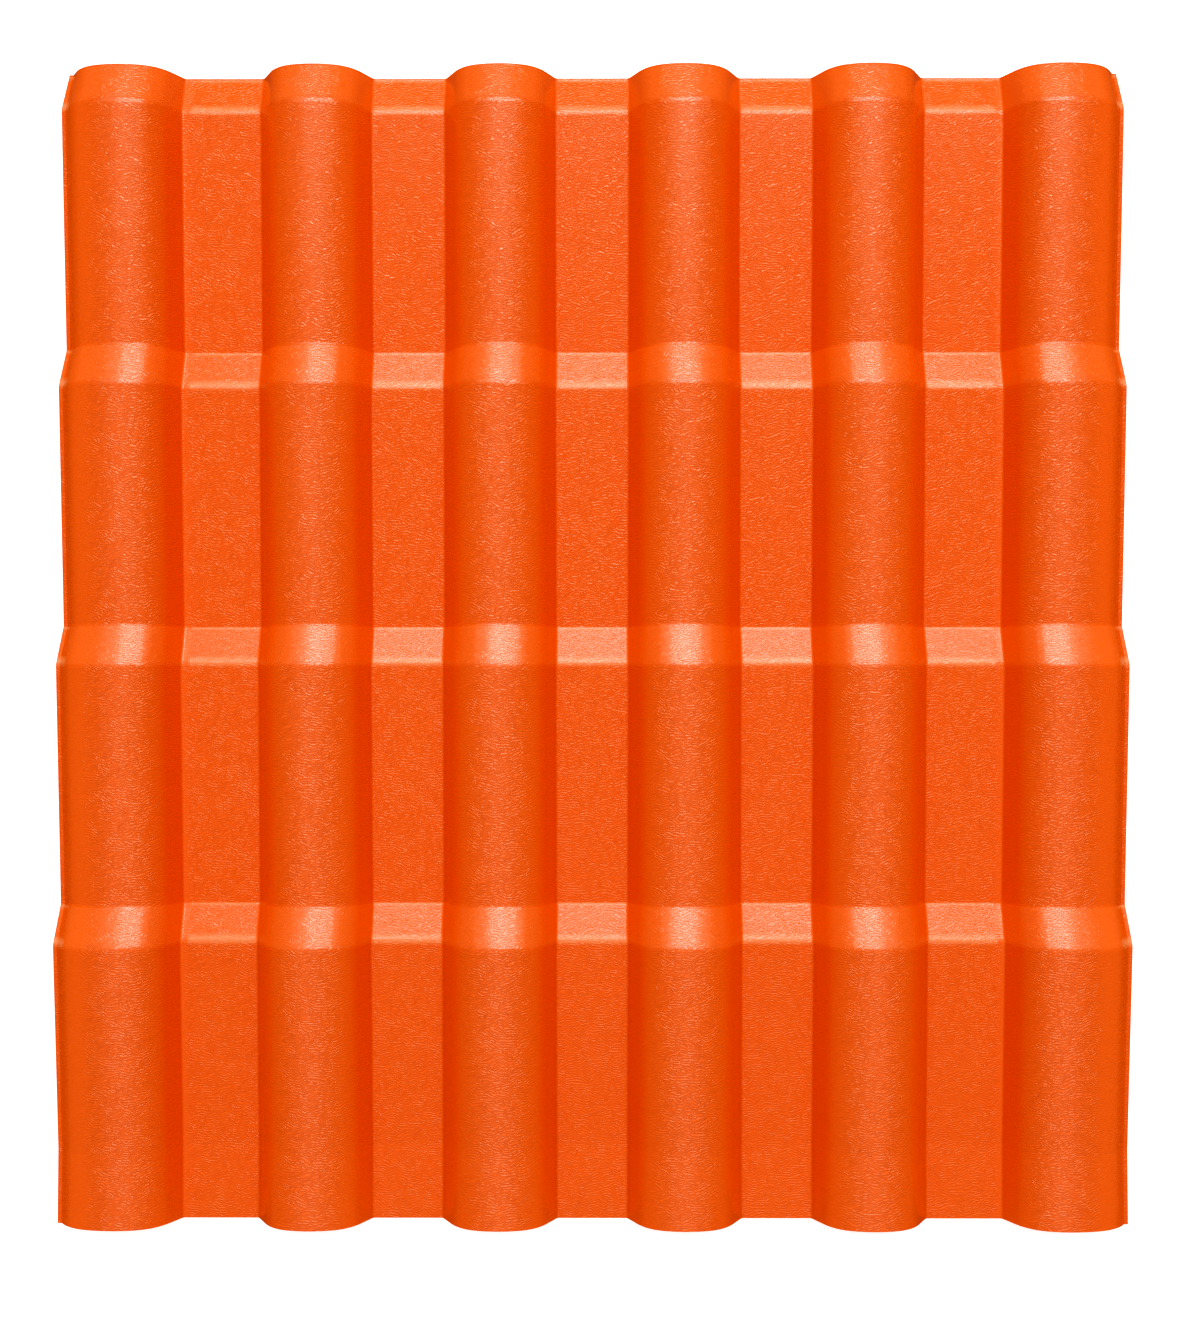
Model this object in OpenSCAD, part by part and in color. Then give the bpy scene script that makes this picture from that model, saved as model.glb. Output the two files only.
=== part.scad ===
// Tile-effect roofing sheet in rigid vinyl (UPVC).
// One piece: a thin formed shell with barrel ribs along Y and crosswise
// steps that imitate courses of overlapping clay tiles.
//
// Millimetres.  X runs across the ribs, Y along them with the upper end at
// +Y, Z is up.  The sheet is centred on X and Y, and the underside of its
// lowest trough lines lies on Z = 0.

/* [Sheet] */
// Number of barrel ribs
ribs = 6; // [3:1:6]
// Number of tile courses along the length
courses = 4; // [2:1:5]
// Wall thickness
wall = 2.5; // [1.5:0.1:4]

/* [Ribs] */
// Spacing of the rib centre lines
rib_pitch = 150; // [135:1:200]
// Rib height above the troughs
rib_h = 30; // [26:0.5:36]
// Radius of the rib crest
crest_r = 78; // [60:1:100]
// Angle at which the crest radius hands over to the shoulder
crest_sweep = 13.4; // [8:0.2:16]
// Radius of the rib shoulders
shoulder_r = 33; // [24:0.5:36]
// Slope of the straight flanks
flank_angle = 58; // [50:0.5:62]
// Fillet radius where a flank meets the trough
foot_r = 3; // [3:0.5:8]
// Narrowing of the ribs at the upper end, as a share of their width
rib_taper = 0.035; // [0:0.005:0.06]

/* [Courses] */
// Length of one course
course_len = 225; // [180:1:260]
// Height of the step between courses, in the troughs
step_h = 10; // [5:0.5:16]
// Extra step height on the rib crests
crest_gain = 1.7; // [0:0.1:3]
// Length of the step face in the troughs
step_len = 30; // [20:0.5:45]
// Extra length of the step face on the crests, at each end
crest_stretch = 1.8; // [0:0.1:4]
// Half length of the rounding at the two bends of a step
bend_half = 4; // [3:0.5:5]

/* [Ends] */
// Level strip above the first step
head_len = 1.5; // [1:0.5:5]
// Length left below the last full course
tail_over = 31.5; // [10:0.5:50]
// Level length at the lower end
tail_len = 60; // [20:1:90]

/* [Long edges] */
// Outward shift of the two outer ribs
edge_shift = 4.8; // [0:0.1:10]
// Reach from an outer rib's centre line to the long edge, upper end
reach_upper = 48; // [46:0.1:60]
// Reach from an outer rib's centre line to the long edge, lower end
reach_lower = 51.6; // [46:0.1:65]
// Extra reach at the top of each step
edge_flare = 2.2; // [0:0.1:4]
// Height of the long edge above the troughs, upper end
edge_h_upper = 7.7; // [6:0.1:12]
// Height of the long edge above the troughs, lower end
edge_h_lower = 12.7; // [6:0.1:13]
// Width of the level lip along each long edge
lip_w = 3.5; // [2.5:0.1:8]

/* [Hidden] */

// Segments of the crest, shoulder and foot arcs of half a rib.
CREST_N = 2;
SHOULDER_N = 3;
FOOT_N = 2;

// Rows about the lower and the upper bend of a step.
LOW_ROWS = [-5, -1, 3.5];
HIGH_ROWS = [-3.5, 1, 5];
TAIL_ROWS = [-5, 0, 5];

SHEET_LEN = head_len + courses * course_len + tail_over;
TAIL_AT = SHEET_LEN - tail_len;
EDGE_X = (ribs - 1) / 2 * rib_pitch + edge_shift;

// Where the arcs of half a rib meet: offset from its centre line and height.
CREST_U = crest_r * sin(crest_sweep);
CREST_V = rib_h - crest_r * (1 - cos(crest_sweep));
SHOULDER_U = CREST_U + shoulder_r * (sin(flank_angle) - sin(crest_sweep));
SHOULDER_V = CREST_V - shoulder_r * (cos(crest_sweep) - cos(flank_angle));
FLANK_V = foot_r * (1 - cos(flank_angle));
FLANK_U = SHOULDER_U + (SHOULDER_V - FLANK_V) / tan(flank_angle);
FOOT_U = FLANK_U + foot_r * sin(flank_angle);

// The step line ------------------------------------------------------------

// A ramp of slope 1 that starts at d = 0, rounded over +-bend_half.
function soft_ramp(d) =
  d <= -bend_half ? 0
  : d >= bend_half ? d
  : (d + bend_half) * (d + bend_half) / (4 * bend_half);

// Distance from the upper end at which step k starts.
function step_at(k) = head_len + k * course_len;

// Length over which course k falls back to the low level.
function fall_len(k) =
  (k < courses - 1 ? step_at(k + 1) : TAIL_AT) - step_at(k) - step_len;

// Rise of the step line at distance d from the upper end; "stretch"
// lengthens every step face at both ends.
function rise_of(k, d, stretch) =
  let (face = step_len + 2 * stretch,
       fall = fall_len(k) - (k < courses - 1 ? 2 : 1) * stretch,
       s = d - step_at(k) + stretch)
  soft_ramp(s) / face
  - soft_ramp(s - face) * (1 / face + 1 / fall)
  + soft_ramp(s - face - fall) / fall;

function rise(d, stretch, k = 0) =
  k == courses ? 0 : rise_of(k, d, stretch) + rise(d, stretch, k + 1);

// Cross-section ------------------------------------------------------------

// Crest and shoulder of half a rib, from its centre line outwards.
CROWN = concat(
  [for (i = [0 : CREST_N])
    let (a = crest_sweep * i / CREST_N)
    [crest_r * sin(a), rib_h - crest_r * (1 - cos(a))]],
  [for (i = [1 : SHOULDER_N])
    let (a = crest_sweep + (flank_angle - crest_sweep) * i / SHOULDER_N)
    [CREST_U + shoulder_r * (sin(a) - sin(crest_sweep)),
     CREST_V - shoulder_r * (cos(crest_sweep) - cos(a))]]
);

// The foot fillet, down to the trough.
FOOT = [for (i = [0 : FOOT_N])
  let (a = flank_angle * (1 - i / FOOT_N))
  [FOOT_U - foot_r * sin(a), foot_r * (1 - cos(a))]];

HALF_RIB = concat(CROWN, FOOT);

// Outer half of an outer rib: spread sideways, cut off on the flank and
// finished with a level lip.
function outer_half(reach, edge_h) =
  let (cut_v = min(edge_h, SHOULDER_V - 0.2),
       cut_u = SHOULDER_U + (SHOULDER_V - cut_v) / tan(flank_angle),
       spread = (reach - lip_w) / cut_u)
  concat(
    [for (p = CROWN) [p[0] * spread, p[1]]],
    [[reach - lip_w, cut_v], [reach, cut_v]]
  );

function reversed(list) = [for (i = [len(list) - 1 : -1 : 0]) list[i]];

// Half a rib scaled sideways by w, mirrored and moved so that its centre
// line is at x.
function left_of(half, x, w = 1) = [for (p = reversed(half)) [x - w * p[0], p[1]]];
function right_of(half, x, w = 1) =
  [for (i = [1 : len(half) - 1]) [x + w * half[i][0], half[i][1]]];

function inner_x(i) = (i - (ribs - 1) / 2) * rib_pitch;

// Upper surface across the sheet, as [x, height above the trough].
function section(reach, edge_h, w) =
  let (outer = outer_half(reach, edge_h))
  concat(
    left_of(outer, -EDGE_X),
    right_of(HALF_RIB, -EDGE_X, w),
    [for (i = [1 : ribs - 2])
      each concat(left_of(HALF_RIB, inner_x(i), w), right_of(HALF_RIB, inner_x(i), w))],
    left_of(HALF_RIB, EDGE_X, w),
    right_of(outer, EDGE_X)
  );

// Rows ---------------------------------------------------------------------

ROWS = concat(
  [0],
  [for (o = LOW_ROWS) if (head_len + o > 1) head_len + o],
  [for (k = [0 : courses - 1])
    each concat(
      k == 0 ? [] : [for (o = LOW_ROWS) step_at(k) + o],
      [for (o = HIGH_ROWS) step_at(k) + step_len + o])],
  [for (o = TAIL_ROWS) TAIL_AT + o],
  [SHEET_LEN]
);

// Upper surface of the row at distance d from the upper end, as [x, z].
function upper_row(d) =
  let (t = d / SHEET_LEN,
       low = step_h * rise(d, 0),
       high = (step_h + crest_gain) * rise(d, crest_stretch),
       reach = reach_upper + (reach_lower - reach_upper) * t + edge_flare * rise(d, 0),
       edge_h = edge_h_upper + (edge_h_lower - edge_h_upper) * t)
  [for (p = section(reach, edge_h, 1 - rib_taper * (1 - t)))
    let (f = p[1] / rib_h)
    [p[0], wall + p[1] + low * (1 - f) + high * f]];

function unit(v) = v / norm(v);
function normal_of(a, b) = let (e = unit(b - a)) [-e[1], e[0]];

// The same row moved inwards by the wall thickness.
function lower_row(row) =
  let (n = len(row))
  [for (i = [0 : n - 1])
    let (before = i == 0 ? [0, 1] : normal_of(row[i - 1], row[i]),
         after = i == n - 1 ? [0, 1] : normal_of(row[i], row[i + 1]),
         middle = unit(before + after))
    row[i] - middle * wall / (middle * after)];

// Roofing sheet ------------------------------------------------------------

module roofing_sheet() {
  upper = [for (d = ROWS) upper_row(d)];
  lower = [for (row = upper) lower_row(row)];
  rows = len(ROWS);
  cols = len(upper[0]);
  base = rows * cols;

  points = concat(
    [for (j = [0 : rows - 1], p = upper[j]) [p[0], SHEET_LEN / 2 - ROWS[j], p[1]]],
    [for (j = [0 : rows - 1], p = lower[j]) [p[0], SHEET_LEN / 2 - ROWS[j], p[1]]]
  );

  skin = [for (j = [0 : rows - 2], i = [0 : cols - 2])
    let (a = j * cols + i, b = a + 1, c = b + cols, e = a + cols)
    each [[a, b, c], [a, c, e], [base + c, base + b, base + a], [base + e, base + c, base + a]]];

  sides = [for (j = [0 : rows - 2])
    let (a = j * cols, e = a + cols, b = a + cols - 1, c = b + cols)
    each [[a, e, base + e, base + a], [c, b, base + b, base + c]]];

  ends = [for (i = [0 : cols - 2])
    let (a = i, c = (rows - 1) * cols + i)
    each [[a + 1, a, base + a, base + a + 1], [c, c + 1, base + c + 1, base + c]]];

  color([0.95, 0.35, 0.1])
    polyhedron(points = points, faces = concat(skin, sides, ends), convexity = 14);
}

roofing_sheet();
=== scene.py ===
"""Tile-effect roofing sheet in rigid vinyl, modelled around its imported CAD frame.

Metres.  X runs across the ribs, Y along them with the upper end at +Y, Z is up.
"""

import math

import bmesh
import bpy
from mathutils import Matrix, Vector


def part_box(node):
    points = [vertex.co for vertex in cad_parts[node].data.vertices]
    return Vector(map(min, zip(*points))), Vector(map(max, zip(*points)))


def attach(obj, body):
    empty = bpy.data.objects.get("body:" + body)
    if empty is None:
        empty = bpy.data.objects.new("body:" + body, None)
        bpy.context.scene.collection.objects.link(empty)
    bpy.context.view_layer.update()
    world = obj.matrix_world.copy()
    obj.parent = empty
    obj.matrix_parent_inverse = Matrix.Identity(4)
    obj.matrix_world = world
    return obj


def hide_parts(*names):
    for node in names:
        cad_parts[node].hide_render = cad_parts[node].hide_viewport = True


bl_info = {
    "name": "Tile-effect Roofing Sheet",
    "version": (1, 0, 0),
    "blender": (4, 5, 0),
    "location": "3D View > Sidebar > Roofing Sheet",
    "description": "Builds a stepped barrel-rib roofing sheet in moulded vinyl, and its stage",
    "category": "Add Mesh",
}

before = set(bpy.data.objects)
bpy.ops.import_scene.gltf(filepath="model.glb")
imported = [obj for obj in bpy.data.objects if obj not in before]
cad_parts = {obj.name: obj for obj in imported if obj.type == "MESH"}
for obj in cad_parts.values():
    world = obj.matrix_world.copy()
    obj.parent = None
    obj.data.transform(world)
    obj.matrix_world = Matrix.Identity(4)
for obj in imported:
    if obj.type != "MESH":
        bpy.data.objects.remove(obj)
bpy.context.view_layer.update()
CAD_LOW, CAD_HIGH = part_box("roofing_sheet")

# --------------------------------------------------------------------------
# Modelling constants
# --------------------------------------------------------------------------

LENGTH = CAD_HIGH.y - CAD_LOW.y
SPARE = 0.006  # left at both ends until the sheet is sawn to length
FOOT_STEPS = 5
SHOULDER_STEPS = 8
CREST_STEPS = 8

SUPPORT = 0.0085  # distance from a bend to the row that keeps the course beside it flat
FIRST_SUPPORT = 0.0005  # a supporting row nearer the upper end than this is left out
LOW_BEND_STEPS = 3
HIGH_BEND_STEPS = 5
LIP_FOLD = math.radians(24.0)  # edges that turn by more than this make the fold of the lip
LIP_BEND = 0.0012
LIP_BEND_STEPS = 3
RIM_BEVEL = 0.0003
RIM_STEPS = 2
RIM_ANGLE = math.radians(60.0)
SMOOTH_ANGLE = math.radians(35.0)
SAW_NORMAL = 0.9  # how squarely a face looks along the sheet if it is part of a sawn end

ON_LINE = 1e-5  # distance within which a point lies on a line or a row
ON_ROW = 4e-4  # distance within which an edge lies on a leaned row
ROW_SLANT = 0.004  # the most that an edge of a row runs along the sheet
LENGTHWISE = 1e-6  # an edge that changes less than this across and upwards runs along the sheet
PROFILE_MERGE = 2e-5
SAWN_MERGE = 1.5e-4
MIRROR_MERGE = 1e-4

# --------------------------------------------------------------------------
# Material constants
# --------------------------------------------------------------------------

WHITE = (1.0, 1.0, 1.0, 1.0)
SPECULAR_LEVEL = 0.68
COAT_ROUGHNESS = 0.30
ROUGHNESS_SWING = 0.02
ROUGHNESS_SCALE = 30.0  # noise cells per metre
MID_NOISE = (0.3, 0.7)  # span of noise over which the roughness swings
# The band also carries the painted highlight: a paler colour along the top of each rib.
CREST_BAND = 0.024  # half width of the paler band along each rib

# Pale bands across the low and the high bend of a step in the troughs, partly forming
# whitening and partly painted highlight: (distance past the bend, half width, strength).
LOW_CREASE = (0.0008, 0.0024, 0.75)
HIGH_CREASE = (-0.0018, 0.0058, 1.0)
TROUGH_EDGE = (0.0255, 0.0305)  # from the middle of a trough, where its creases fade out
RIB_FACE = 0.12  # painted highlight: paler colour on the step faces of the ribs
RIB_FACE_FADE = 0.0015

# How deep the grain is from the middle of a trough to the crest beside it:
# (share of the way, share of twice the grain depth).
GRAIN_ACROSS = (
    (0.0, 0.5), (0.36, 0.5), (0.44, 0.22), (0.56, 0.25), (0.70, 0.52), (0.84, 0.64), (1.0, 0.62),
)
FACE_GRAIN = 0.7  # how much of the grain the step faces keep
FACE_GRAIN_FADE = 0.004
VALLEY_SHADE = 0.35  # painted shade: how far the bottoms of the deepest wrinkles go towards the valley colour
# Colour of the painted shade in the wrinkle valleys.
VALLEY_SHADE_COLOUR = (0.35, 0.04, 0.002, 1.0)

# Embossed wrinkles: directions in which they run, how much they waver, and the lengths
# over which they waver, over which one direction gives way to the next, and over which
# they get shallower and deeper.
WRINKLE_HEADINGS = (0.05, 0.48, -0.42)
WANDER = 6.0
WANDER_LENGTH = 0.0048
PATCH_LENGTHS = (0.009, 0.011)
PATCH_EDGE = (0.485, 0.515)
BREAK_LENGTH = 0.005
BREAK_EDGE = (0.35, 0.65)
BREAK_DEPTH = 0.82
VALLEY_FLOOR = 0.40  # share of a wave's height below which it is flat valley floor

# --------------------------------------------------------------------------
# Stage constants
# --------------------------------------------------------------------------

GROUND_BRIGHTNESS = 0.10
GROUND_START = -0.02  # where the dark ground begins, a little below the floor's far edge
HORIZON_BRIGHTNESS = 0.425
ZENITH_BRIGHTNESS = 0.865
SIDE_SHADE = 0.15  # how much darker the surroundings are off the long edges

FLOOR_SIZE = 200.0
FLOOR_ROUGHNESS = 0.9
FLOOR_GLOW = 0.5

# Softboxes, as seen from the sheet: name, degrees off the vertical across and along,
# distance in metres, half width and half height in degrees, brightness.
SOFTBOXES = (
    ("key", 3.0, 37.5, 8.0, 17.0, 15.5, 4.5),
    ("halo", 3.0, 37.5, 8.2, 34.0, 13.0, 1.1),
)

EYE_PLACE = (0.0060, -0.0276, 1.1889)
EYE_TURN = (0.0122, 0.0035, 0.0)  # radians off straight down
LENS = 39.45  # millimetres
SENSOR_HEIGHT = 36.0  # millimetres

# Brightness shown for a given scene brightness, from black to white.
TONE_CURVE = ((0.0, 0.0), (0.05, 0.005), (0.13, 0.048), (0.23, 0.130), (1.0, 1.0))
COMBINED_CURVE = 3  # the curve that acts on red, green and blue alike


# --------------------------------------------------------------------------
# Sizes and finishes
# --------------------------------------------------------------------------

def length_prop(name, description, default):
    return bpy.props.FloatProperty(
        name=name, description=description, default=default, min=0.0, precision=4, unit="LENGTH"
    )


def angle_prop(name, description, degrees):
    return bpy.props.FloatProperty(
        name=name, description=description, default=math.radians(degrees), subtype="ANGLE"
    )


def share_prop(name, description, default, most=1.0):
    return bpy.props.FloatProperty(
        name=name, description=description, default=default, min=0.0, max=most, subtype="FACTOR"
    )


def colour_prop(name, description, default):
    return bpy.props.FloatVectorProperty(
        name=name,
        description=description,
        default=default,
        size=3,
        min=0.0,
        max=1.0,
        subtype="COLOR",
    )


class RoofingSheetSizes(bpy.types.PropertyGroup):
    rib_pitch: length_prop("Rib pitch", "Spacing of the rib centre lines", 0.150)
    rib_height: length_prop("Rib height", "Height of the ribs above the troughs", 0.030)
    crest_radius: length_prop("Crest radius", "Radius of the top of a rib", 0.078)
    crest_sweep: angle_prop(
        "Crest sweep", "Angle at which the crest radius hands over to the shoulder", 13.4
    )
    shoulder_radius: length_prop("Shoulder radius", "Radius of a rib's shoulders", 0.033)
    flank_angle: angle_prop("Flank angle", "Slope of the straight flanks", 58.0)
    foot_radius: length_prop("Foot radius", "Fillet between a flank and the trough", 0.003)
    rib_taper: share_prop(
        "Rib taper", "Narrowing of the ribs at the upper end, as a share of their width", 0.035, 0.2
    )
    wall: length_prop("Wall", "Thickness of the sheet", 0.0025)
    course_length: length_prop("Course length", "Length of one tile course", 0.225)
    courses: bpy.props.IntProperty(
        name="Courses", description="Number of tile courses", default=4, min=2, max=5
    )
    step_height: length_prop("Step height", "Rise of a step in the troughs", 0.010)
    crest_gain: length_prop("Crest gain", "Extra rise of a step on the crests", 0.0017)
    step_length: length_prop("Step length", "Length of a step's face in the troughs", 0.030)
    crest_stretch: length_prop(
        "Crest stretch", "Extra length of a step's face on the crests, at each end", 0.0018
    )
    low_bend: length_prop("Low bend", "Half length of the rounding at the foot of a step", 0.0010)
    high_bend: length_prop("High bend", "Half length of the rounding at the top of a step", 0.0022)
    head_length: length_prop("Head", "Level strip above the first step", 0.0015)
    tail_length: length_prop("Tail", "Level length at the lower end", 0.060)
    edge_shift: length_prop("Edge shift", "Outward shift of the two outer ribs", 0.0048)
    reach_upper: length_prop(
        "Upper reach", "From an outer rib's centre line to the long edge, upper end", 0.0480
    )
    reach_lower: length_prop(
        "Lower reach", "From an outer rib's centre line to the long edge, lower end", 0.0516
    )
    edge_flare: length_prop("Edge flare", "Extra reach at the top of each step", 0.0022)
    edge_height_upper: length_prop(
        "Upper edge height", "Height of the long edge above the troughs, upper end", 0.0077
    )
    edge_height_lower: length_prop(
        "Lower edge height", "Height of the long edge above the troughs, lower end", 0.0127
    )
    lip_width: length_prop("Lip", "Width of the level lip along each long edge", 0.0035)


class RoofingSheetFinish(bpy.types.PropertyGroup):
    vinyl_colour: colour_prop(
        "Vinyl", "Colour of the moulded vinyl in the troughs", (0.868, 0.158, 0.0095)
    )
    # Painted highlight: the tops of the ribs are given a paler colour than the troughs.
    crest_highlight_colour: colour_prop(
        "Crest vinyl",
        "Colour along the top of the ribs, slightly paler than in the troughs",
        (0.945, 0.167, 0.0110),
    )
    # Partly forming whitening, partly painted highlight along the bends.
    crease_highlight_colour: colour_prop(
        "Crease",
        "Colour of the vinyl where forming has whitened it along the bends",
        (0.93, 0.30, 0.12),
    )
    vinyl_roughness: share_prop("Roughness", "Roughness of the vinyl's satin skin", 0.20)
    crest_gloss: share_prop(
        "Crest gloss",
        "Extra gloss along the top of the ribs, where forming has drawn the vinyl tight",
        0.8,
    )
    sheen_colour: colour_prop(
        "Sheen", "Tint of the reflections on the vinyl's skin", (1.0, 1.0, 1.0)
    )
    grain_depth: length_prop(
        "Grain depth", "Depth of the embossed wrinkles in the troughs", 0.00017
    )
    grain_spacing: length_prop("Grain spacing", "Distance between neighbouring wrinkles", 0.0020)
    floor_colour: colour_prop("Floor", "Colour of the studio floor", (0.95, 0.95, 0.95))


class Section:
    """Where the arcs of half a rib meet: offset from its centre line, height above the trough."""

    def __init__(self, s):
        sweep, flank = s.crest_sweep, s.flank_angle
        self.crest_centre = (0.0, s.rib_height - s.crest_radius)
        self.crest_u = s.crest_radius * math.sin(sweep)
        self.crest_v = s.rib_height - s.crest_radius * (1 - math.cos(sweep))
        gap = s.crest_radius - s.shoulder_radius
        self.shoulder_centre = (gap * math.sin(sweep), self.crest_centre[1] + gap * math.cos(sweep))
        self.shoulder_u = self.crest_u + s.shoulder_radius * (math.sin(flank) - math.sin(sweep))
        self.shoulder_v = self.crest_v - s.shoulder_radius * (math.cos(sweep) - math.cos(flank))
        self.flank_v = s.foot_radius * (1 - math.cos(flank))
        self.flank_u = self.shoulder_u + (self.shoulder_v - self.flank_v) / math.tan(flank)
        self.foot_u = self.flank_u + s.foot_radius * math.sin(flank)
        self.slope = math.tan(flank)
        self.edge_x = 2.5 * s.rib_pitch + s.edge_shift  # centre line of the outer rib

    def offset_at(self, height):
        """Offset from the rib's centre line at which the straight flank has this height."""
        return self.shoulder_u + (self.shoulder_v - height) / self.slope


# --------------------------------------------------------------------------
# Modelling helpers
# --------------------------------------------------------------------------

def take(piece):
    """Makes the piece the only selected object, and the active one."""
    bpy.ops.object.select_all(action="DESELECT")
    piece.select_set(True)
    bpy.context.view_layer.objects.active = piece


def open_for_editing(piece):
    take(piece)
    bpy.ops.object.mode_set(mode="EDIT")
    bpy.ops.mesh.select_mode(type="VERT")


def close_editing():
    bpy.ops.object.mode_set(mode="OBJECT")


def pick_all():
    bpy.ops.mesh.select_all(action="SELECT")


def pick_points(piece, wanted):
    """Selects the vertices for which wanted(co) is true, and nothing else."""
    mesh = bmesh.from_edit_mesh(piece.data)
    for parts in (mesh.verts, mesh.edges, mesh.faces):
        for part in parts:
            part.select = False
    for v in mesh.verts:
        if wanted(v.co):
            v.select = True
    mesh.select_flush(True)
    bmesh.update_edit_mesh(piece.data)


def pick(piece, kind, wanted):
    """Selects the edges or the faces for which wanted(part) is true, and nothing else."""
    bpy.ops.mesh.select_mode(type=kind)
    bpy.ops.mesh.select_all(action="DESELECT")
    mesh = bmesh.from_edit_mesh(piece.data)
    for part in mesh.edges if kind == "EDGE" else mesh.faces:
        if wanted(part):
            part.select = True
    bmesh.update_edit_mesh(piece.data)


def near(a, b):
    return abs(a - b) < ON_LINE


def spin_edge(centre_x, centre_z, angle, steps):
    """Sweeps the selected edge about an axis along Y."""
    bpy.ops.mesh.spin(
        steps=steps,
        angle=-angle,
        use_auto_merge=False,
        center=(centre_x, 0.0, centre_z),
        axis=(0.0, 1.0, 0.0),
    )


def draw_edge(dx, dz):
    """Extrudes the selected edge by dx across the sheet and dz up."""
    bpy.ops.mesh.extrude_region_move(TRANSFORM_OT_translate={"value": (dx, 0.0, dz)})


def cut_across(y):
    """Adds a row of edges across the sheet."""
    pick_all()
    bpy.ops.mesh.bisect(plane_co=(0.0, y, 0.0), plane_no=(0.0, 1.0, 0.0), use_fill=False)


def move_picked(dx=0.0, dz=0.0):
    bpy.ops.transform.translate(value=(dx, 0.0, dz))


def scale_picked(x, z, centre):
    bpy.ops.transform.resize(value=(x, 1.0, z), center_override=centre)


def bevel_picked(offset, segments):
    bpy.ops.mesh.bevel(
        offset_type="OFFSET", offset=offset, segments=segments, profile=0.5, affect="EDGES",
        clamp_overlap=True, loop_slide=True,
    )


def apply_modifier(piece, kind, **settings):
    modifier = piece.modifiers.new(kind.title(), kind)
    for key, value in settings.items():
        setattr(modifier, key, value)
    take(piece)
    bpy.ops.object.modifier_apply(modifier=modifier.name)


# --------------------------------------------------------------------------
# Roofing sheet
# --------------------------------------------------------------------------

def strip(name, width, z):
    """A flat strip from the centre line to the right, with the spare at both ends."""
    bpy.ops.object.select_all(action="DESELECT")
    bpy.ops.mesh.primitive_plane_add(size=1.0, location=(width / 2, 0.0, z))
    piece = bpy.context.object
    piece.name = piece.data.name = name
    piece.scale = (width, LENGTH + 2 * SPARE, 1.0)
    bpy.ops.object.transform_apply(location=True, rotation=False, scale=True)
    return piece


def draw_rib(s, k, x):
    """Draws a rib from the trough on its left, over its crest, to the end of its right shoulder."""
    shoulder_z = s.wall + k.shoulder_centre[1]
    shoulder_turn = s.flank_angle - s.crest_sweep
    spin_edge(x - k.foot_u, s.wall + s.foot_radius, -s.flank_angle, FOOT_STEPS)
    draw_edge(k.flank_u - k.shoulder_u, k.shoulder_v - k.flank_v)
    spin_edge(x - k.shoulder_centre[0], shoulder_z, shoulder_turn, SHOULDER_STEPS)
    spin_edge(x, s.wall + k.crest_centre[1], 2 * s.crest_sweep, CREST_STEPS)
    spin_edge(x + k.shoulder_centre[0], shoulder_z, shoulder_turn, SHOULDER_STEPS)


def corrugate_half(s, k):
    """The right half of the sheet, ribbed across and still straight along."""
    half = s.rib_pitch / 2
    flat = half - k.foot_u
    piece = strip("roofing_sheet_visual", flat, s.wall)
    open_for_editing(piece)
    pick_points(piece, lambda co: near(co.x, flat))
    draw_rib(s, k, half)
    draw_edge(k.flank_u - k.shoulder_u, k.flank_v - k.shoulder_v)
    spin_edge(half + k.foot_u, s.wall + s.foot_radius, -s.flank_angle, FOOT_STEPS)
    draw_edge(flat, 0.0)

    pick_all()
    bpy.ops.mesh.duplicate_move(TRANSFORM_OT_translate={"value": (s.rib_pitch, 0.0, 0.0)})

    pick_points(piece, lambda co: near(co.x, 2 * s.rib_pitch))
    draw_edge(k.edge_x - k.foot_u - 2 * s.rib_pitch, 0.0)
    draw_rib(s, k, k.edge_x)
    draw_edge(k.offset_at(s.edge_height_upper) - k.shoulder_u, s.edge_height_upper - k.shoulder_v)
    draw_edge(s.lip_width, 0.0)

    pick_all()
    bpy.ops.mesh.remove_doubles(threshold=PROFILE_MERGE)
    bpy.ops.mesh.normals_make_consistent(inside=False)
    return piece


def face_up(piece):
    """Turns the sheet's faces to the weather side."""
    mesh = bmesh.from_edit_mesh(piece.data)
    if sum(f.normal.z * f.calc_area() for f in mesh.faces) < 0:
        pick_all()
        bpy.ops.mesh.flip_normals()


def bend_rows(s):
    """Where the sheet bends: (distance from the upper end, share of a step's rise, crest lean)."""
    rows = []
    for course in range(s.courses):
        start = s.head_length + course * s.course_length
        rows.append((start, 0.0, 1.0))
        rows.append((start + s.step_length, 1.0, -1.0))
    rows.append((LENGTH - s.tail_length, 0.0, 0.0))
    return rows


def row_y(s, row, z):
    """Where a leaned row lies at height z."""
    distance, rise, lean = row
    slant = lean * s.crest_stretch / s.rib_height
    return LENGTH / 2 - distance + slant * (z - s.wall - s.step_height * rise)


def share_along(distance):
    """0 at the upper end of the sheet, 1 at the lower end."""
    return min(max(distance / LENGTH, 0.0), 1.0)


def taper_ribs(s, k, piece, y, distance):
    """Narrows the ribs in one row, but for the outer flank of the outer rib."""
    narrow = 1 - s.rib_taper * (1 - share_along(distance))
    reach = k.foot_u + ON_LINE
    for centre, right in (
        (0.5 * s.rib_pitch, reach), (1.5 * s.rib_pitch, reach), (k.edge_x, ON_LINE)
    ):
        pick_points(piece, lambda co: near(co.y, y) and centre - reach < co.x < centre + right)
        scale_picked(narrow, 1.0, (centre, y, 0.0))


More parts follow.
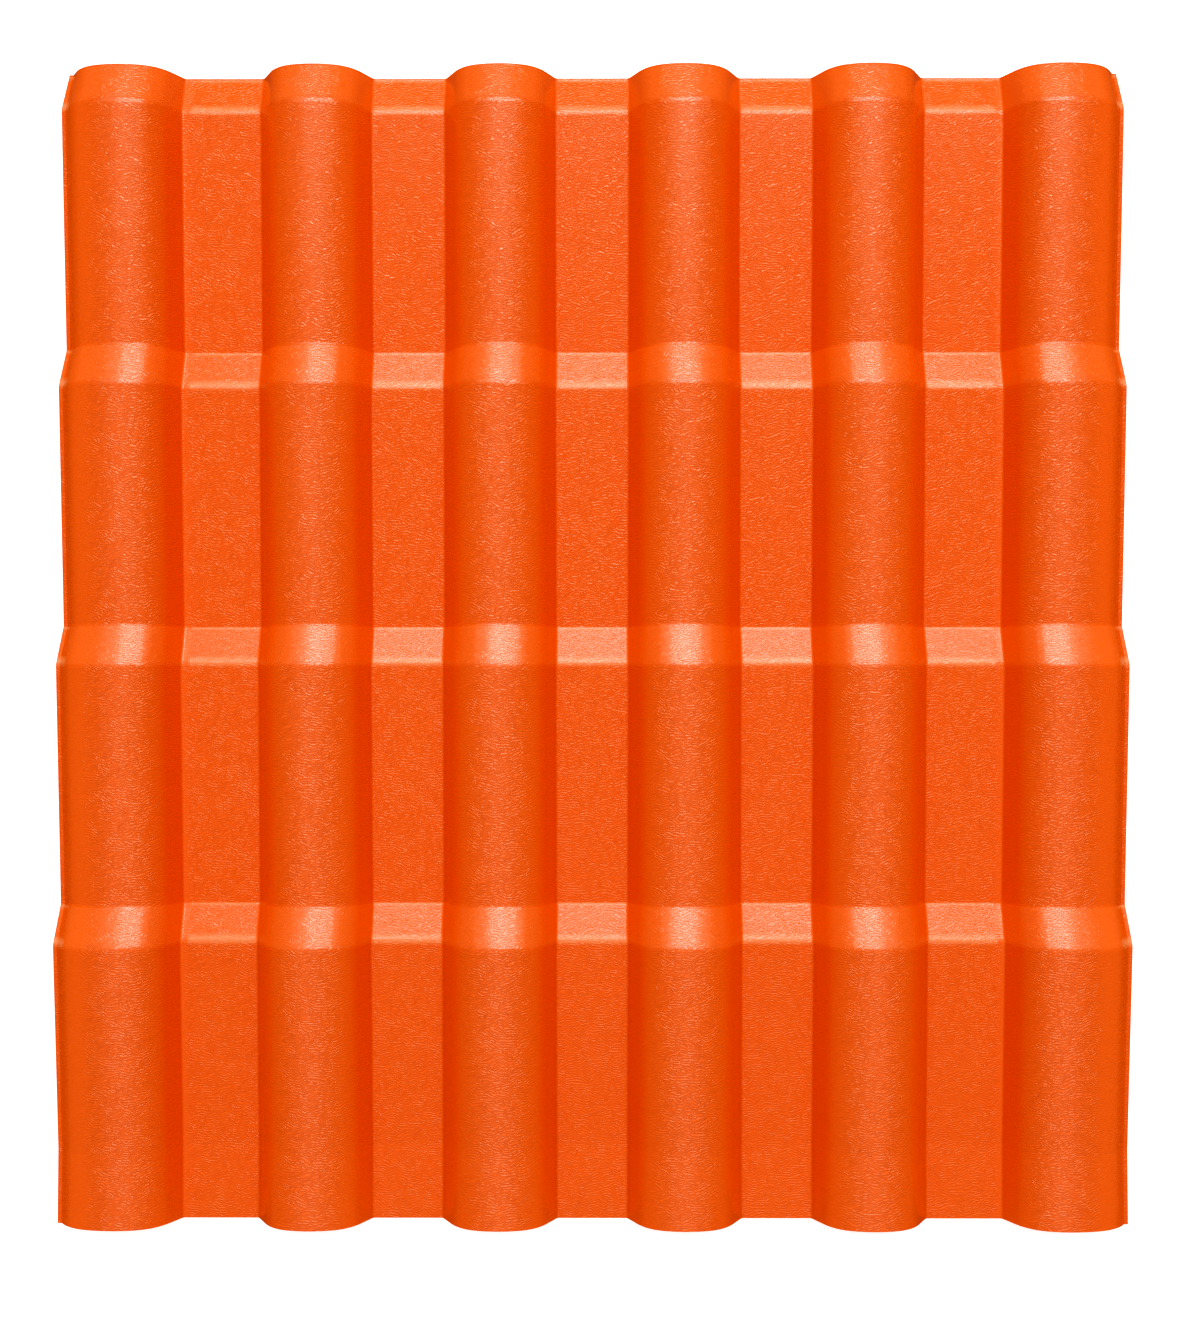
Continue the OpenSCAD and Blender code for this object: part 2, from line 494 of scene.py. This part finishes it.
def spread_outer_flank(s, k, piece, y, distance, rise):
    """Opens the outer flank of the outer rib in one row."""
    along = share_along(distance)
    reach = s.reach_upper + (s.reach_lower - s.reach_upper) * along + s.edge_flare * rise
    height = s.edge_height_upper + (s.edge_height_lower - s.edge_height_upper) * along
    drop = height - s.edge_height_upper
    lip_start = k.edge_x + k.offset_at(s.edge_height_upper)
    lip_end = lip_start + s.lip_width
    pick_points(piece, lambda co: near(co.y, y) and near(co.x, lip_end))
    move_picked(dx=k.edge_x + reach - lip_end, dz=drop)
    pick_points(piece, lambda co: near(co.y, y) and near(co.x, lip_start))
    move_picked(dx=k.edge_x + reach - s.lip_width - lip_start, dz=drop)

    shoulder_z = s.wall + k.shoulder_v - ON_LINE
    pick_points(
        piece,
        lambda co: near(co.y, y)
        and k.edge_x + ON_LINE < co.x < lip_start - ON_LINE
        and co.z > shoulder_z,
    )
    scale_picked((reach - s.lip_width) / k.offset_at(height), 1.0, (k.edge_x, y, 0.0))


def step_courses(s, k, piece):
    """Raises the upper line of each step and leans the bends so that crests step for longer."""
    rows = bend_rows(s)
    for distance, _, _ in rows:
        cut_across(LENGTH / 2 - distance)
    ends = [(-SPARE, 0.0, 0.0), (LENGTH + SPARE, 0.0, 0.0)]
    lean_angle = math.atan(s.crest_stretch / s.rib_height)
    for distance, rise, lean in rows + ends:
        y = LENGTH / 2 - distance
        spread_outer_flank(s, k, piece, y, distance, rise)
        taper_ribs(s, k, piece, y, distance)
        pick_points(piece, lambda co: near(co.y, y))
        lift = s.step_height * rise
        if rise:
            move_picked(dz=lift)
            scale_picked(1.0, 1 + s.crest_gain * rise / s.rib_height, (0.0, y, s.wall + lift))
        if lean:
            bpy.ops.transform.rotate(
                value=lean * lean_angle, orient_axis="X", center_override=(0.0, y, s.wall + lift)
            )


def round_bends(s, piece):
    """Rounds the step bends and the fold of the lip, and saws the ends square."""
    rows = bend_rows(s)
    for distance, _, _ in rows:
        for side in (-SUPPORT, SUPPORT):
            if distance + side > FIRST_SUPPORT:
                cut_across(LENGTH / 2 - (distance + side))

    def lies_on(level):
        wanted = [row for row in rows if row[1] == level]

        def test(edge):
            a, b = (v.co for v in edge.verts)
            lengthwise = abs(a.x - b.x) + abs(a.z - b.z) < LENGTHWISE
            if edge.is_boundary or lengthwise or abs(a.y - b.y) > ROW_SLANT:
                return False
            y, z = (a.y + b.y) / 2, (a.z + b.z) / 2
            return min(abs(y - row_y(s, row, z)) for row in wanted) < ON_ROW

        return test

    pick(piece, "EDGE", lies_on(0.0))
    bevel_picked(s.low_bend, LOW_BEND_STEPS)
    pick(piece, "EDGE", lies_on(1.0))
    bevel_picked(s.high_bend, HIGH_BEND_STEPS)
    pick(piece, "EDGE", lambda e: not e.is_boundary and e.calc_face_angle(0.0) > LIP_FOLD)
    bevel_picked(LIP_BEND, LIP_BEND_STEPS)
    bpy.ops.mesh.select_mode(type="VERT")
    for side in (1, -1):
        pick_all()
        bpy.ops.mesh.bisect(
            plane_co=(0.0, side * LENGTH / 2, 0.0),
            plane_no=(0.0, side, 0.0),
            clear_outer=True,
            use_fill=False,
        )
    pick_all()
    bpy.ops.mesh.remove_doubles(threshold=SAWN_MERGE)


def square_ends(piece):
    """Brings both rims back into the plane of the saw cut after the wall has been thickened."""
    for side in (1, -1):
        open_for_editing(piece)
        pick(piece, "FACE", lambda f: f.normal.y * side > SAW_NORMAL)
        bpy.ops.transform.resize(
            value=(1.0, 0.0, 1.0), center_override=(0.0, side * LENGTH / 2, 0.0)
        )
        close_editing()


# --------------------------------------------------------------------------
# Materials
# --------------------------------------------------------------------------

def colour_of(values):
    return (values[0], values[1], values[2], 1.0)


def set_inputs(node, values):
    for name, value in values.items():
        node.inputs[name].default_value = value


class Nodes:
    """Adds and joins the shader nodes of a new material or world."""

    def __init__(self, owner, shader):
        self.owner = owner
        self.owner.use_nodes = True
        self.tree = owner.node_tree
        self.shader = self.tree.nodes[shader]

    def add(self, kind, **settings):
        node = self.tree.nodes.new("ShaderNode" + kind)
        for key, value in settings.items():
            setattr(node, key, value)
        return node

    def join(self, output, socket):
        self.tree.links.new(output, socket)

    def feed(self, value, socket):
        """Joins another node's output to the socket, or gives it a plain number."""
        if isinstance(value, bpy.types.NodeSocket):
            self.join(value, socket)
        else:
            socket.default_value = value

    def remap(self, value, from_low, from_high, to_low, to_high, smooth=False):
        node = self.add("MapRange", interpolation_type="SMOOTHSTEP" if smooth else "LINEAR")
        self.join(value, node.inputs["Value"])
        set_inputs(
            node, {"From Min": from_low, "From Max": from_high, "To Min": to_low, "To Max": to_high}
        )
        return node.outputs["Result"]

    def math(self, operation, *values):
        node = self.add("Math", operation=operation)
        for socket, value in zip(node.inputs, values):
            self.feed(value, socket)
        return node.outputs["Value"]

    def mix(self, share, a, b):
        node = self.add("Mix", data_type="FLOAT")
        self.join(share, node.inputs[0])
        self.feed(a, node.inputs[2])
        self.feed(b, node.inputs[3])
        return node.outputs[0]

    def blend(self, share, low, high):
        """Colour that goes from low to high as the share goes from 0 to 1."""
        node = self.add("ValToRGB")
        self.join(share, node.inputs["Fac"])
        for element, colour in zip(node.color_ramp.elements, (low, high)):
            element.color = colour
        return node.outputs["Color"]

    def profile(self, value, full, stops):
        """Reads a row of (share of full, amount) stops, from 0 to 1, at the value."""
        node = self.add("ValToRGB")
        self.join(self.remap(value, 0.0, full, 0.0, 1.0), node.inputs["Fac"])
        elements = node.color_ramp.elements
        for place, _ in stops[1:-1]:
            elements.new(place)
        for element, (_, amount) in zip(elements, stops):
            element.color = (amount, amount, amount, 1.0)
        return node.outputs["Color"]

    def tint_with(self, share, colour, other):
        """The colour, changed to a plain other one by the share."""
        node = self.add("Mix", data_type="RGBA")
        self.join(share, node.inputs[0])
        self.join(colour, node.inputs[6])
        node.inputs[7].default_value = other
        return node.outputs[2]

    def noise(self, place, scale, detail=0.0):
        node = self.add("TexNoise")
        self.join(place, node.inputs["Vector"])
        set_inputs(node, {"Scale": scale, "Detail": detail})
        return node.outputs["Fac"]


def along_step(n, sizes, y):
    """Distance past the start of the nearest step above, and 1 where that step exists."""
    distance = n.math("SUBTRACT", LENGTH / 2 - sizes.head_length, y)
    in_course = n.math("FLOORED_MODULO", distance, sizes.course_length)
    last = sizes.courses * sizes.course_length - 0.5 * sizes.step_length
    return in_course, n.math("LESS_THAN", distance, last)


def crease(n, in_course, bend, zone):
    """Pale band along a bend, partly forming whitening and partly painted highlight, fading to 0 on
    both sides of it.
    """
    offset, half_width, strength = zone
    off = n.math("ABSOLUTE", n.math("SUBTRACT", in_course, bend + offset))
    return n.remap(off, 0.0, half_width, strength, 0.0, smooth=True)


def whitening_and_highlight(n, sizes, from_trough, in_course, stepped):
    """Where the vinyl is paled, partly by forming whitening and partly as painted highlight: bends
    in the troughs, and faintly the ribs' faces.
    """
    in_trough = n.remap(from_trough, *TROUGH_EDGE, 1.0, 0.0, smooth=True)
    creases = n.math(
        "MAXIMUM",
        crease(n, in_course, 0.0, LOW_CREASE),
        crease(n, in_course, sizes.step_length, HIGH_CREASE),
    )
    face_end = sizes.step_length
    face = n.math(
        "MULTIPLY",
        n.remap(in_course, face_end, face_end + RIB_FACE_FADE, 1.0, 0.0, smooth=True),
        n.remap(in_trough, 0.0, 1.0, RIB_FACE, 0.0),
    )
    whitened = n.math("MAXIMUM", face, n.math("MULTIPLY", creases, in_trough))
    return n.math("MULTIPLY", whitened, stepped)


def wrinkle_bands(n, place, heading, spacing, wander):
    """Wavering ridges that run across the sheet, turned by the heading."""
    turned = n.add("Mapping")
    n.join(place, turned.inputs["Vector"])
    turned.inputs["Rotation"].default_value = (0.0, 0.0, heading)
    bands = n.add("TexWave", wave_type="BANDS", bands_direction="Y", wave_profile="SIN")
    n.join(turned.outputs["Vector"], bands.inputs["Vector"])
    scale = 2.0 * math.pi / (20.0 * spacing)  # at scale 1 there are 20 / (2 pi) bands per metre
    set_inputs(
        bands,
        {
            "Scale": scale,
            "Distortion": wander,
            "Detail": 1.0,
            "Detail Scale": 1.0 / (scale * WANDER_LENGTH),
        },
    )
    return bands.outputs["Fac"]


def wrinkles(n, place, spacing):
    """Ridges between 0 and 1 whose heading changes from patch to patch."""
    ridges = wrinkle_bands(n, place, WRINKLE_HEADINGS[0], spacing, WANDER)
    for index, length in enumerate(PATCH_LENGTHS, start=1):
        bands = wrinkle_bands(n, place, WRINKLE_HEADINGS[index], spacing, WANDER + index)
        patch = n.remap(n.noise(place, 1.0 / length), *PATCH_EDGE, 0.0, 1.0, smooth=True)
        ridges = n.mix(patch, ridges, bands)
    return n.remap(ridges, VALLEY_FLOOR, 1.0, 0.0, 1.0, smooth=True)


def grain_share(n, sizes, place, from_trough, in_course, stepped):
    """How deep the wrinkles are, as a share of twice the grain depth."""
    uneven = n.remap(
        n.noise(place, 1.0 / BREAK_LENGTH), *BREAK_EDGE, BREAK_DEPTH, 1.0, smooth=True
    )
    face_end = sizes.step_length
    on_face = n.remap(
        in_course, face_end - FACE_GRAIN_FADE, face_end, FACE_GRAIN, 1.0, smooth=True
    )
    on_face = n.math("MAXIMUM", on_face, n.math("SUBTRACT", 1.0, stepped))
    across = n.profile(from_trough, sizes.rib_pitch / 2, GRAIN_ACROSS)
    return n.math("MULTIPLY", n.math("MULTIPLY", uneven, on_face), across)


def vinyl_material(sizes, finish):
    """Satin moulded vinyl with embossed wrinkles on every face."""
    n = Nodes(bpy.data.materials.new("orange_vinyl"), "Principled BSDF")
    place = n.add("TexCoord").outputs["Object"]
    split = n.add("SeparateXYZ")
    n.join(place, split.inputs["Vector"])
    half_pitch = sizes.rib_pitch / 2
    from_trough = n.math("PINGPONG", split.outputs["X"], half_pitch)
    in_course, stepped = along_step(n, sizes, split.outputs["Y"])
    on_crest = n.remap(from_trough, half_pitch - CREST_BAND, half_pitch, 0.0, 1.0, smooth=True)
    # Mask of the pale bands at the bends: forming whitening and painted highlight.
    whitened = whitening_and_highlight(n, sizes, from_trough, in_course, stepped)
    ridges = wrinkles(n, place, finish.grain_spacing)
    depth = grain_share(n, sizes, place, from_trough, in_course, stepped)

    # Painted highlight: a paler colour along the crests of the ribs.
    tint = n.blend(on_crest, colour_of(finish.vinyl_colour), colour_of(finish.crest_highlight_colour))
    # Painted highlight, partly forming whitening: a paler colour across the bends.
    tint = n.tint_with(whitened, tint, colour_of(finish.crease_highlight_colour))
    # Painted shade: the bottoms of the wrinkles are darkened towards the valley colour.
    shade = n.math("MULTIPLY", depth, VALLEY_SHADE)
    painted_valley_shade = n.math("MULTIPLY", n.math("SUBTRACT", 1.0, ridges), shade)
    n.join(n.tint_with(painted_valley_shade, tint, VALLEY_SHADE_COLOUR), n.shader.inputs["Base Color"])

    low = finish.vinyl_roughness - ROUGHNESS_SWING
    high = finish.vinyl_roughness + ROUGHNESS_SWING
    rough = n.remap(n.noise(place, ROUGHNESS_SCALE, 2.0), *MID_NOISE, low, high)
    n.join(rough, n.shader.inputs["Roughness"])
    gloss = n.remap(on_crest, 0.0, 1.0, 0.0, finish.crest_gloss)
    n.join(gloss, n.shader.inputs["Coat Weight"])
    set_inputs(
        n.shader,
        {
            "Coat Roughness": COAT_ROUGHNESS,
            "Specular IOR Level": SPECULAR_LEVEL,
            "Specular Tint": colour_of(finish.sheen_colour),
        },
    )

    relief = n.add("Bump")
    n.join(n.math("MULTIPLY", ridges, depth), relief.inputs["Height"])
    set_inputs(relief, {"Strength": 1.0, "Distance": 2.0 * finish.grain_depth})
    n.join(relief.outputs["Normal"], n.shader.inputs["Normal"])
    n.join(relief.outputs["Normal"], n.shader.inputs["Coat Normal"])
    return n.owner


def floor_material(finish):
    """Matt white that glows a little, so that the sheet's shadow leaves it white."""
    n = Nodes(bpy.data.materials.new("studio_floor"), "Principled BSDF")
    set_inputs(
        n.shader,
        {
            "Base Color": colour_of(finish.floor_colour),
            "Roughness": FLOOR_ROUGHNESS,
            "Specular IOR Level": 0.0,
            "Emission Color": WHITE,
            "Emission Strength": FLOOR_GLOW,
        },
    )
    return n.owner


# --------------------------------------------------------------------------
# Stage
# --------------------------------------------------------------------------

def softbox(name, across, along, distance, half_width, half_height, brightness):
    """A softbox that faces the sheet from the given angles off the vertical."""
    lean = (math.tan(math.radians(across)), math.tan(math.radians(along)), 1.0)
    direction = Vector(lean).normalized()
    light = bpy.data.lights.new(name, "AREA")
    light.shape = "RECTANGLE"
    light.size = 2.0 * distance * math.tan(math.radians(half_width))
    light.size_y = 2.0 * distance * math.tan(math.radians(half_height))
    light.energy = brightness * math.pi * light.size * light.size_y
    lamp = bpy.data.objects.new(name, light)
    bpy.context.scene.collection.objects.link(lamp)
    lamp.location = direction * distance
    lamp.rotation_euler = (-direction).to_track_quat("-Z", "Y").to_euler()


def studio_world():
    """White surroundings, brightest overhead, darker to the sides and dark below the horizon."""
    n = Nodes(bpy.data.worlds.new("studio"), "Background")
    direction = n.add("SeparateXYZ")
    n.join(n.add("TexCoord").outputs["Generated"], direction.inputs["Vector"])
    height = direction.outputs["Z"]
    sky = n.remap(height, 0.0, 1.0, HORIZON_BRIGHTNESS, ZENITH_BRIGHTNESS)
    strength = n.mix(n.math("GREATER_THAN", height, GROUND_START), GROUND_BRIGHTNESS, sky)
    sideways = n.math("ABSOLUTE", direction.outputs["X"])
    shade = n.remap(sideways, 0.0, 1.0, 1.0, 1.0 - SIDE_SHADE)
    n.join(n.math("MULTIPLY", strength, shade), n.shader.inputs["Strength"])
    set_inputs(n.shader, {"Color": WHITE})
    return n.owner


def set_contrast(view):
    """Plain colours with a soft toe that deepens the darkest tones."""
    view.view_transform = "Standard"
    view.look = "None"
    view.use_curve_mapping = True
    curve = view.curve_mapping.curves[COMBINED_CURVE]
    for place in TONE_CURVE[1:-1]:
        curve.points.new(*place)
    curve.points[0].location = TONE_CURVE[0]
    curve.points[-1].location = TONE_CURVE[-1]
    view.curve_mapping.update()


# --------------------------------------------------------------------------
# Operators and panel
# --------------------------------------------------------------------------

class ROOFING_OT_sheet(bpy.types.Operator):
    """Model the stepped, ribbed sheet and give it its vinyl finish"""

    bl_idname = "roofing.sheet"
    bl_label = "Roofing Sheet"

    def execute(self, context):
        s = context.scene.roofing_sizes
        k = Section(s)
        piece = corrugate_half(s, k)
        face_up(piece)
        step_courses(s, k, piece)
        round_bends(s, piece)
        close_editing()
        apply_modifier(
            piece,
            "MIRROR",
            use_axis=(True, False, False),
            use_clip=True,
            merge_threshold=MIRROR_MERGE,
        )
        apply_modifier(
            piece, "SOLIDIFY", thickness=s.wall, offset=-1.0, use_even_offset=True, use_rim=True
        )
        square_ends(piece)
        apply_modifier(
            piece,
            "BEVEL",
            width=RIM_BEVEL,
            segments=RIM_STEPS,
            limit_method="ANGLE",
            angle_limit=RIM_ANGLE,
        )
        take(piece)
        bpy.ops.object.shade_smooth_by_angle(angle=SMOOTH_ANGLE)
        apply_modifier(piece, "WEIGHTED_NORMAL", mode="FACE_AREA", weight=50, keep_sharp=True)
        piece.data.materials.clear()
        piece.data.materials.append(vinyl_material(s, context.scene.roofing_finish))
        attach(piece, "root")
        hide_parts("roofing_sheet")
        return {"FINISHED"}


class ROOFING_OT_stage(bpy.types.Operator):
    """Lay the pale floor and set the soft lights and the camera"""

    bl_idname = "roofing.stage"
    bl_label = "Studio Stage"

    def execute(self, context):
        bpy.ops.object.select_all(action="DESELECT")
        bpy.ops.mesh.primitive_plane_add(size=FLOOR_SIZE, location=(0.0, 0.0, CAD_LOW.z))
        floor = context.object
        floor.name = floor.data.name = "studio_floor"
        bpy.ops.object.transform_apply(location=True, rotation=True, scale=True)
        floor.data.materials.append(floor_material(context.scene.roofing_finish))
        floor.visible_glossy = False

        context.scene.world = studio_world()
        for settings in SOFTBOXES:
            softbox(*settings)

        camera = bpy.data.cameras.new("view")
        camera.sensor_fit = "VERTICAL"
        camera.sensor_height = SENSOR_HEIGHT
        camera.lens = LENS
        eye = bpy.data.objects.new("view", camera)
        eye.location = EYE_PLACE
        eye.rotation_euler = EYE_TURN
        context.scene.collection.objects.link(eye)
        context.scene.camera = eye

        set_contrast(context.scene.view_settings)
        return {"FINISHED"}


class ROOFING_PT_panel(bpy.types.Panel):
    """Sizes, finish and build buttons of the roofing sheet"""

    bl_idname = "ROOFING_PT_panel"
    bl_label = "Roofing Sheet"
    bl_space_type = "VIEW_3D"
    bl_region_type = "UI"
    bl_category = "Roofing Sheet"

    def draw(self, context):
        layout = self.layout
        for group in (context.scene.roofing_sizes, context.scene.roofing_finish):
            column = layout.column(align=True)
            for name in group.__annotations__:
                column.prop(group, name)
        layout.operator(ROOFING_OT_sheet.bl_idname)
        layout.operator(ROOFING_OT_stage.bl_idname)


CLASSES = (
    RoofingSheetSizes, RoofingSheetFinish, ROOFING_OT_sheet, ROOFING_OT_stage, ROOFING_PT_panel,
)


def register():
    for cls in CLASSES:
        bpy.utils.register_class(cls)
    bpy.types.Scene.roofing_sizes = bpy.props.PointerProperty(type=RoofingSheetSizes)
    bpy.types.Scene.roofing_finish = bpy.props.PointerProperty(type=RoofingSheetFinish)


def unregister():
    del bpy.types.Scene.roofing_finish
    del bpy.types.Scene.roofing_sizes
    for cls in reversed(CLASSES):
        bpy.utils.unregister_class(cls)


def main():
    register()
    bpy.ops.roofing.sheet()
    bpy.ops.roofing.stage()


if __name__ == "__main__":
    main()
